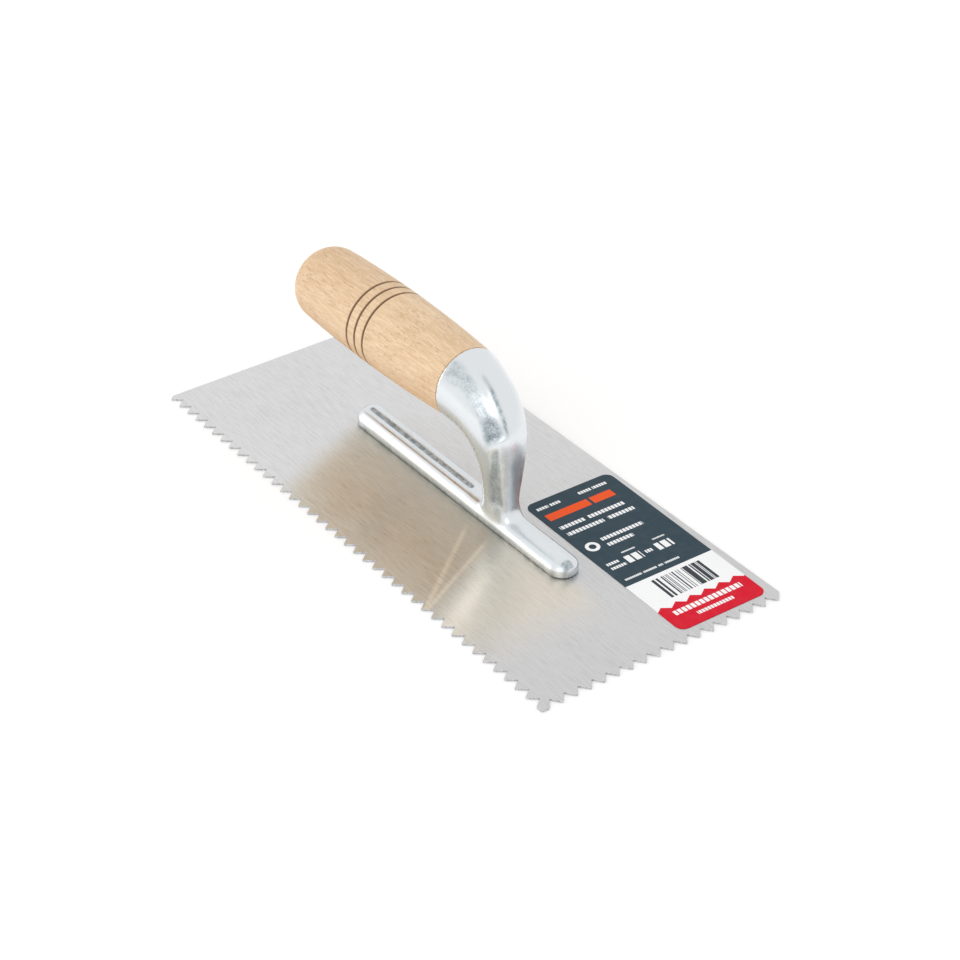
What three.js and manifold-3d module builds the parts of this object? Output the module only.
// A notched trowel: a steel blade with V notches along two edges, riveted to a one-piece cast mount.
// The mount is a backbone rib, a gooseneck neck and a socket that holds a turned beech handle.
// Millimetres. The origin is the middle of the blade's underside, +Z is up, and +X runs along the blade
// towards its notched short edge. The notched long edge is on the -Y side.
import * as THREE from "three";
import { mergeVertices } from "three/addons/utils/BufferGeometryUtils.js";
import Module from "manifold-3d";

const wasm = await Module();
wasm.setup();

// Driving dimensions.
const GAP = 0.3;
const SEAT_GAP = 0.05;

const BLADE_LENGTH = 280;
const BLADE_WIDTH = 127;
const BLADE_THICKNESS = 0.7;
const BLADE_EDGE_BREAK = 0.08;

const NOTCH_PITCH = 7.04;
const NOTCH_DEPTH = 4.3;
const TOOTH_FLAT = 0.4;
const LONG_EDGE_TEETH = 40;
const SHORT_EDGE_TEETH = 18;
const CORNER_LAND = 3.4;
const LAST_NOTCH_SHARE = 0.85;
const PLAIN_CORNER_INSETS = [
  [3.45, 1.36],
  [5.52, 0],
];

const RIB_REAR = -74;
const RIB_FRONT = 78.4;
const RIB_WIDTH = 14.1;
const RIB_HEIGHT = 7.4;
const RIB_FRONT_DROP = 1.2;
const RIB_TOP_RADIUS = 2.2;
const RIB_FOOT_RADIUS = 0.5;
const RIB_BOTTOM_Z = BLADE_THICKNESS + SEAT_GAP;
const REAR_GROOVE = { fromX: -69.5, toX: 9.5, radius: 1.6, depth: 0.6 };
const FRONT_GROOVE = { fromX: 47, toX: 60, radius: 1, depth: 0.25 };

const HANDLE_AXIS_Z = 58.5;
const SOCKET_MOUTH_X = 4.5;
const SOCKET_RADIUS = 16.9;

const HANDLE_MAX_RADIUS = 18.7;
const HANDLE_MAX_X = -55;
const HANDLE_SAG = 1.52;
const HANDLE_SAG_SPAN = 50;
const DOME_START_X = -98;
const DOME_DEPTH = 14.5;
const RING_X = [-59.3, -53.4, -47.5];
const RING_DEPTH = 0.6;
const RING_HALF_WIDTH = 0.65;

const TENON_ROOT_RADIUS = 13;
const TENON_TIP_RADIUS = 8;
const TENON_TIP_X = 21;

const SCREW_RADIUS = 2.5;
const SCREW_TIP_X = 29;
const SCREW_HEAD_RADIUS = 4.6;
const SCREW_HEAD_LENGTH = 2.6;
const SCREW_CHAMFER = 0.6;
const HEX_SOCKET_RADIUS = 1.7;
const HEX_SOCKET_DEPTH = 1.6;
const WASHER_RADIUS = 5.6;
const WASHER_THICKNESS = 1;
const COUNTERBORE_RADIUS = 6.2;
const COUNTERBORE_FLOOR_X = -103;
const DOME_STEPS = 10;

const RIVET_COUNT = 6;
const RIVET_FIRST_X = -63;
const RIVET_PITCH = 26;
const RIVET_SHANK_RADIUS = 1.9;
const RIVET_HEAD_RADIUS = 3;
const RIVET_HEAD_DEPTH = 0.45;
const RIVET_ROOT_TOP = 5;
const RIVET_CHAMFER = 0.4;

const LABEL_CENTRE = [79.9, 37.1];
const LABEL_SIZE = [107.2, 46.2];
const LABEL_CORNER_RADIUS = 4;
const LABEL_TURN = THREE.MathUtils.degToRad(-1);
const LABEL_THICKNESS = 0.15;

const CUT_CLEARANCE = 1;
const SMALL_SEGMENTS = 24;
const HANDLE_SEGMENTS = 64;

const STEEL = { color: 0xb9bbbc, roughness: 0.35, metalness: 1 };
const ALUMINIUM = { color: 0xdfe3e6, roughness: 0.25, metalness: 1 };
const ZINC = { color: 0xc4c6c8, roughness: 0.4, metalness: 1 };
const BEECH = { color: 0xe0bb8d, roughness: 0.6, metalness: 0 };
const LABEL_FILM = { color: 0x33424c, roughness: 0.45, metalness: 0 };

const trowel = new THREE.Group();

function addPiece(name, geometry, look) {
  const mesh = new THREE.Mesh(geometry, new THREE.MeshStandardMaterial(look));
  mesh.name = name;
  trowel.add(mesh);
}

// Turns a closed geometry into a solid that can be joined and cut.
function solidOf(geometry) {
  const bare = geometry.clone();
  bare.deleteAttribute("normal");
  bare.deleteAttribute("uv");
  const merged = mergeVertices(bare, 1e-4);
  return new wasm.Manifold(
    new wasm.Mesh({
      numProp: 3,
      vertProperties: new Float32Array(merged.attributes.position.array),
      triVerts: new Uint32Array(merged.index.array),
    }),
  );
}

function geometryOf(solid) {
  const mesh = solid.getMesh();
  const geometry = new THREE.BufferGeometry();
  geometry.setAttribute("position", new THREE.BufferAttribute(mesh.vertProperties, 3));
  geometry.setIndex(new THREE.BufferAttribute(mesh.triVerts, 1));
  geometry.computeVertexNormals();
  return geometry;
}

// A solid of revolution about an upright axis through x, from [radius, height] pairs.
function turnedUpright(profile, x) {
  const points = profile.map(([radius, height]) => new THREE.Vector2(radius, height));
  return new THREE.LatheGeometry(points, SMALL_SEGMENTS).rotateX(Math.PI / 2).translate(x, 0, 0);
}

// A solid of revolution about the handle's axis, from [radius, x] pairs.
function turnedOnHandleAxis(profile, segments) {
  const points = profile.map(([radius, x]) => new THREE.Vector2(radius, x));
  return new THREE.LatheGeometry(points, segments).rotateZ(-Math.PI / 2).translate(0, 0, HANDLE_AXIS_Z);
}

// The blade: a sheet with V notches punched along the long edge at -Y and the short edge at +X.
function bladeOutline() {
  const halfLength = BLADE_LENGTH / 2;
  const halfWidth = BLADE_WIDTH / 2;
  const flat = TOOTH_FLAT / 2;
  const valley = NOTCH_PITCH / 2;
  const firstLongTooth = halfLength - CORNER_LAND - (LONG_EDGE_TEETH - 1) * NOTCH_PITCH;
  const firstShortTooth = -halfWidth + CORNER_LAND;
  const outline = new THREE.Shape();

  outline.moveTo(-halfLength, -halfWidth + NOTCH_DEPTH * LAST_NOTCH_SHARE);
  for (let tooth = 0; tooth < LONG_EDGE_TEETH; tooth += 1) {
    const x = firstLongTooth + tooth * NOTCH_PITCH;
    outline.lineTo(x - flat, -halfWidth);
    if (tooth < LONG_EDGE_TEETH - 1) {
      outline.lineTo(x + flat, -halfWidth);
      outline.lineTo(x + valley, -halfWidth + NOTCH_DEPTH);
    }
  }
  outline.lineTo(halfLength, -halfWidth);
  for (let tooth = 0; tooth < SHORT_EDGE_TEETH; tooth += 1) {
    const y = firstShortTooth + tooth * NOTCH_PITCH;
    if (tooth > 0) {
      outline.lineTo(halfLength - NOTCH_DEPTH, y - valley);
      outline.lineTo(halfLength, y - flat);
    }
    outline.lineTo(halfLength, y + flat);
  }
  PLAIN_CORNER_INSETS.forEach(([alongX, alongY]) => {
    outline.lineTo(halfLength - alongX, halfWidth - alongY);
  });
  outline.lineTo(-halfLength, halfWidth);
  outline.closePath();
  return outline;
}

const rivetX = Array.from({ length: RIVET_COUNT }, (_, i) => RIVET_FIRST_X + i * RIVET_PITCH);

function notchedBlade() {
  const sheet = new THREE.ExtrudeGeometry(bladeOutline(), {
    depth: BLADE_THICKNESS - 2 * BLADE_EDGE_BREAK,
    bevelEnabled: true,
    bevelThickness: BLADE_EDGE_BREAK,
    bevelSize: BLADE_EDGE_BREAK,
    bevelOffset: -BLADE_EDGE_BREAK,
    bevelSegments: 1,
  }).translate(0, 0, BLADE_EDGE_BREAK);
  const holeProfile = [
    [0, -CUT_CLEARANCE],
    [RIVET_HEAD_RADIUS + GAP, -CUT_CLEARANCE],
    [RIVET_HEAD_RADIUS + GAP, 0],
    [RIVET_SHANK_RADIUS + GAP, RIVET_HEAD_DEPTH],
    [RIVET_SHANK_RADIUS + GAP, BLADE_THICKNESS + CUT_CLEARANCE],
    [0, BLADE_THICKNESS + CUT_CLEARANCE],
  ];
  return rivetX.reduce(
    (blade, x) => blade.subtract(solidOf(turnedUpright(holeProfile, x))),
    solidOf(sheet),
  );
}

// A rivet: its root sits in a blind hole in the rib, and its head is peened flush with the underside.
const rivetProfile = [
  [0, 0],
  [RIVET_HEAD_RADIUS, 0],
  [RIVET_SHANK_RADIUS, RIVET_HEAD_DEPTH],
  [RIVET_SHANK_RADIUS, RIVET_ROOT_TOP - RIVET_CHAMFER],
  [RIVET_SHANK_RADIUS - RIVET_CHAMFER, RIVET_ROOT_TOP],
  [0, RIVET_ROOT_TOP],
];

// A closed skin through rings of equal point count, capped flat at both ends.
function loft(rings) {
  const sides = rings[0].length;
  const centres = [rings[0], rings.at(-1)].map((ring) =>
    ring.reduce((sum, point) => sum.add(point), new THREE.Vector3()).divideScalar(sides),
  );
  const startCentre = rings.length * sides;
  const endCentre = startCentre + 1;
  const lastRing = (rings.length - 1) * sides;
  const faces = [];
  for (let side = 0; side < sides; side += 1) {
    const next = (side + 1) % sides;
    for (let ring = 0; ring < rings.length - 1; ring += 1) {
      const here = ring * sides;
      const there = here + sides;
      faces.push(here + side, there + side, there + next);
      faces.push(here + side, there + next, here + next);
    }
    faces.push(startCentre, side, next);
    faces.push(endCentre, lastRing + next, lastRing + side);
  }
  const geometry = new THREE.BufferGeometry().setFromPoints([...rings.flat(), ...centres]);
  geometry.setIndex(faces);
  return geometry;
}

// The rib: a bar with round ends, rounded top edges and slightly eased bottom edges. Its top falls
// gently from the rear end to the front end.
const RIB_END_STEPS = 14;
const RIB_TOP_STEPS = 5;
const RIB_SLOPE = RIB_FRONT_DROP / (RIB_FRONT - RIB_REAR);

function ribRing(inset, z) {
  const radius = RIB_WIDTH / 2;
  const reach = radius - inset;
  const share = (z - RIB_BOTTOM_Z) / RIB_HEIGHT;
  const ends = [RIB_FRONT - radius, RIB_REAR + radius];
  return ends.flatMap((centre, end) =>
    Array.from({ length: RIB_END_STEPS + 1 }, (_, i) => {
      const angle = (end - 0.5 + i / RIB_END_STEPS) * Math.PI;
      const x = centre + reach * Math.cos(angle);
      const drop = share * RIB_SLOPE * (x - RIB_REAR);
      return new THREE.Vector3(x, reach * Math.sin(angle), z - drop);
    }),
  );
}

function rib() {
  const top = RIB_BOTTOM_Z + RIB_HEIGHT;
  const rings = [ribRing(RIB_FOOT_RADIUS, RIB_BOTTOM_Z), ribRing(0, RIB_BOTTOM_Z + RIB_FOOT_RADIUS)];
  for (let i = 0; i <= RIB_TOP_STEPS; i += 1) {
    const angle = (i / RIB_TOP_STEPS) * (Math.PI / 2);
    const inset = RIB_TOP_RADIUS * (1 - Math.cos(angle));
    rings.push(ribRing(inset, top - RIB_TOP_RADIUS * (1 - Math.sin(angle))));
  }
  return solidOf(loft(rings.reverse()));
}

// A shallow groove with round ends along the middle of the rib's top.
function ribGroove({ fromX, toX, radius, depth }) {
  const middleX = (fromX + toX) / 2;
  const topZ = RIB_BOTTOM_Z + RIB_HEIGHT - RIB_SLOPE * (middleX - RIB_REAR);
  const cutter = new THREE.CapsuleGeometry(radius, toX - fromX, 6, 16).rotateZ(Math.PI / 2);
  return solidOf(cutter.rotateY(Math.atan(RIB_SLOPE)).translate(middleX, 0, topZ - depth + radius));
}

// The gooseneck: sections between an outer and an inner profile, round at the socket's mouth and
// nearly rectangular where the neck meets the rib, with a shallow sunk panel in each flank.
const neckOuter = new THREE.SplineCurve([
  new THREE.Vector2(SOCKET_MOUTH_X, HANDLE_AXIS_Z + SOCKET_RADIUS),
  new THREE.Vector2(14, 72.2),
  new THREE.Vector2(24, 67.5),
  new THREE.Vector2(32.6, 60.4),
  new THREE.Vector2(37.9, 50.5),
  new THREE.Vector2(39.2, 39),
  new THREE.Vector2(38.5, 27.8),
  new THREE.Vector2(37.4, 17.8),
  new THREE.Vector2(38.3, 10.3),
  new THREE.Vector2(44.5, 4.5),
]);
const neckInner = new THREE.SplineCurve([
  new THREE.Vector2(SOCKET_MOUTH_X, HANDLE_AXIS_Z - SOCKET_RADIUS),
  new THREE.Vector2(8.6, 40.9),
  new THREE.Vector2(13.1, 39.1),
  new THREE.Vector2(17.3, 35.2),
  new THREE.Vector2(19.8, 29.9),
  new THREE.Vector2(20.6, 24.2),
  new THREE.Vector2(20.8, 18.6),
  new THREE.Vector2(20.6, 13.4),
  new THREE.Vector2(19.9, 9.3),
  new THREE.Vector2(16, 4),
]);
const neckHalfWidth = new THREE.SplineCurve(
  [SOCKET_RADIUS, 15.6, 14.4, 12.9, 11.1, 9.2, 7.6, 6.6, 6.4, 6.4].map(
    (width, station) => new THREE.Vector2(station, width),
  ),
);
const NECK_RINGS = 37;
const NECK_SIDES = 48;
const NECK_SQUARENESS = [2, 3.6];
const SQUARING_RANGE = [0.25, 0.85];
const PANEL_DEPTH = 0.9;
const PANEL_ANGLE_RANGE = [0.375, 0.75];
const PANEL_TOP_RANGE = [0.5, 0.62];
const PANEL_FOOT_RANGE = [0.82, 0.9];
const { smoothstep } = THREE.MathUtils;

function neckRing(t) {
  const outer = neckOuter.getPoint(t);
  const inner = neckInner.getPoint(t);
  const middle = outer.clone().add(inner).multiplyScalar(0.5);
  const half = outer.clone().sub(inner).multiplyScalar(0.5);
  const halfWidth = neckHalfWidth.getPoint(t).y;
  const power = 2 / THREE.MathUtils.lerp(...NECK_SQUARENESS, smoothstep(t, ...SQUARING_RANGE));
  const panelEnds = smoothstep(t, ...PANEL_TOP_RANGE) * (1 - smoothstep(t, ...PANEL_FOOT_RANGE));
  return Array.from({ length: NECK_SIDES }, (_, i) => {
    const angle = (i / NECK_SIDES) * 2 * Math.PI;
    const across = Math.sign(Math.cos(angle)) * Math.abs(Math.cos(angle)) ** power;
    const aside = Math.sign(Math.sin(angle)) * Math.abs(Math.sin(angle)) ** power;
    const offFlank = Math.abs(Math.abs(angle - Math.PI) - Math.PI / 2);
    const sunk = PANEL_DEPTH * panelEnds * (1 - smoothstep(offFlank, ...PANEL_ANGLE_RANGE));
    const y = Math.sign(aside) * (Math.abs(aside) * halfWidth - sunk);
    return new THREE.Vector3(middle.x + half.x * across, y, middle.y + half.y * across);
  });
}

function mountCasting() {
  const neck = loft(Array.from({ length: NECK_RINGS }, (_, i) => neckRing(i / (NECK_RINGS - 1))));
  const socketBore = turnedOnHandleAxis(
    [
      [0, SOCKET_MOUTH_X - CUT_CLEARANCE],
      [TENON_ROOT_RADIUS + GAP, SOCKET_MOUTH_X - CUT_CLEARANCE],
      [TENON_ROOT_RADIUS + GAP, SOCKET_MOUTH_X],
      [TENON_TIP_RADIUS + GAP, TENON_TIP_X + GAP],
      [SCREW_RADIUS + GAP, TENON_TIP_X + GAP],
      [SCREW_RADIUS + GAP, SCREW_TIP_X + GAP],
      [0, SCREW_TIP_X + 1],
    ],
    HANDLE_SEGMENTS / 2,
  );
  const rivetHole = [
    [0, 0],
    [RIVET_SHANK_RADIUS + GAP, 0],
    [RIVET_SHANK_RADIUS + GAP, RIVET_ROOT_TOP + GAP],
    [0, RIVET_ROOT_TOP + GAP],
  ];
  const casting = rib()
    .subtract(ribGroove(REAR_GROOVE))
    .subtract(ribGroove(FRONT_GROOVE))
    .add(solidOf(neck))
    .subtract(solidOf(socketBore));
  return rivetX.reduce((body, x) => body.subtract(solidOf(turnedUpright(rivetHole, x))), casting);
}

// The handle: turned beech with three burnt rings, a domed rear end and a tapered tenon.
function handleRadius(x) {
  return HANDLE_MAX_RADIUS - HANDLE_SAG * ((x - HANDLE_MAX_X) / HANDLE_SAG_SPAN) ** 2;
}

function handleProfile() {
  const shoulderX = SOCKET_MOUTH_X - GAP;
  const holeRadius = SCREW_RADIUS + GAP;
  const bodyX = [-8, -20, -31, -41, -68, -78, -89];
  const ringX = RING_X.flatMap((x) => [x + RING_HALF_WIDTH, x, x - RING_HALF_WIDTH]);
  const body = [...bodyX, ...ringX]
    .sort((a, b) => b - a)
    .map((x) => [handleRadius(x) - (RING_X.includes(x) ? RING_DEPTH : 0), x]);
  const rearRadius = handleRadius(DOME_START_X);
  const mouthAngle = Math.acos(COUNTERBORE_RADIUS / rearRadius);
  const dome = Array.from({ length: DOME_STEPS + 1 }, (_, i) => {
    const angle = (i / DOME_STEPS) * mouthAngle;
    return [rearRadius * Math.cos(angle), DOME_START_X - DOME_DEPTH * Math.sin(angle)];
  });
  const start = [holeRadius, TENON_TIP_X];
  return [
    start,
    [holeRadius, COUNTERBORE_FLOOR_X],
    [COUNTERBORE_RADIUS, COUNTERBORE_FLOOR_X],
    ...dome.reverse(),
    ...body.reverse(),
    [handleRadius(shoulderX), shoulderX],
    [TENON_ROOT_RADIUS, shoulderX],
    [TENON_TIP_RADIUS, TENON_TIP_X],
    start,
  ];
}

// The long screw that pulls the handle into its socket, with a round head and a hexagon socket.
function handleScrew() {
  const seatX = COUNTERBORE_FLOOR_X - GAP - WASHER_THICKNESS - SEAT_GAP;
  const headX = seatX - SCREW_HEAD_LENGTH;
  const body = turnedOnHandleAxis(
    [
      [0, headX],
      [SCREW_HEAD_RADIUS - SCREW_CHAMFER, headX],
      [SCREW_HEAD_RADIUS, headX + SCREW_CHAMFER],
      [SCREW_HEAD_RADIUS, seatX],
      [SCREW_RADIUS, seatX],
      [SCREW_RADIUS, SCREW_TIP_X - SCREW_CHAMFER],
      [SCREW_RADIUS - SCREW_CHAMFER, SCREW_TIP_X],
      [0, SCREW_TIP_X],
    ],
    SMALL_SEGMENTS,
  );
  const hexagon = new THREE.CylinderGeometry(HEX_SOCKET_RADIUS, HEX_SOCKET_RADIUS, 2 * HEX_SOCKET_DEPTH, 6)
    .rotateZ(Math.PI / 2)
    .translate(headX, 0, HANDLE_AXIS_Z);
  return solidOf(body).subtract(solidOf(hexagon));
}

function screwWasher() {
  const holeRadius = SCREW_RADIUS + GAP;
  const frontX = COUNTERBORE_FLOOR_X - SEAT_GAP;
  const rearX = frontX - WASHER_THICKNESS;
  return turnedOnHandleAxis(
    [
      [holeRadius, rearX],
      [WASHER_RADIUS, rearX],
      [WASHER_RADIUS, frontX],
      [holeRadius, frontX],
      [holeRadius, rearX],
    ],
    SMALL_SEGMENTS,
  );
}

// The label: a film with round corners, stuck on the blade in front of the neck.
function adhesiveLabel() {
  const [halfLength, halfWidth] = LABEL_SIZE.map((size) => size / 2);
  const r = LABEL_CORNER_RADIUS;
  const outline = new THREE.Shape();
  outline.absarc(halfLength - r, halfWidth - r, r, 0, Math.PI / 2);
  outline.absarc(-halfLength + r, halfWidth - r, r, Math.PI / 2, Math.PI);
  outline.absarc(-halfLength + r, -halfWidth + r, r, Math.PI, (3 * Math.PI) / 2);
  outline.absarc(halfLength - r, -halfWidth + r, r, (3 * Math.PI) / 2, 2 * Math.PI);
  outline.closePath();
  return new THREE.ExtrudeGeometry(outline, {
    depth: LABEL_THICKNESS,
    bevelEnabled: false,
    curveSegments: 6,
  })
    .rotateZ(LABEL_TURN)
    .translate(...LABEL_CENTRE, BLADE_THICKNESS + SEAT_GAP);
}

addPiece("notched_blade", geometryOf(notchedBlade()), STEEL);
addPiece("adhesive_label", adhesiveLabel(), LABEL_FILM);
addPiece("mount_casting", geometryOf(mountCasting()), ALUMINIUM);
rivetX.forEach((x, i) => {
  addPiece(`rivet_${i + 1}`, turnedUpright(rivetProfile, x), STEEL);
});
addPiece("beech_handle", turnedOnHandleAxis(handleProfile(), HANDLE_SEGMENTS), BEECH);
addPiece("handle_screw", geometryOf(handleScrew()), ZINC);
addPiece("screw_washer", screwWasher(), ZINC);

export default trowel;
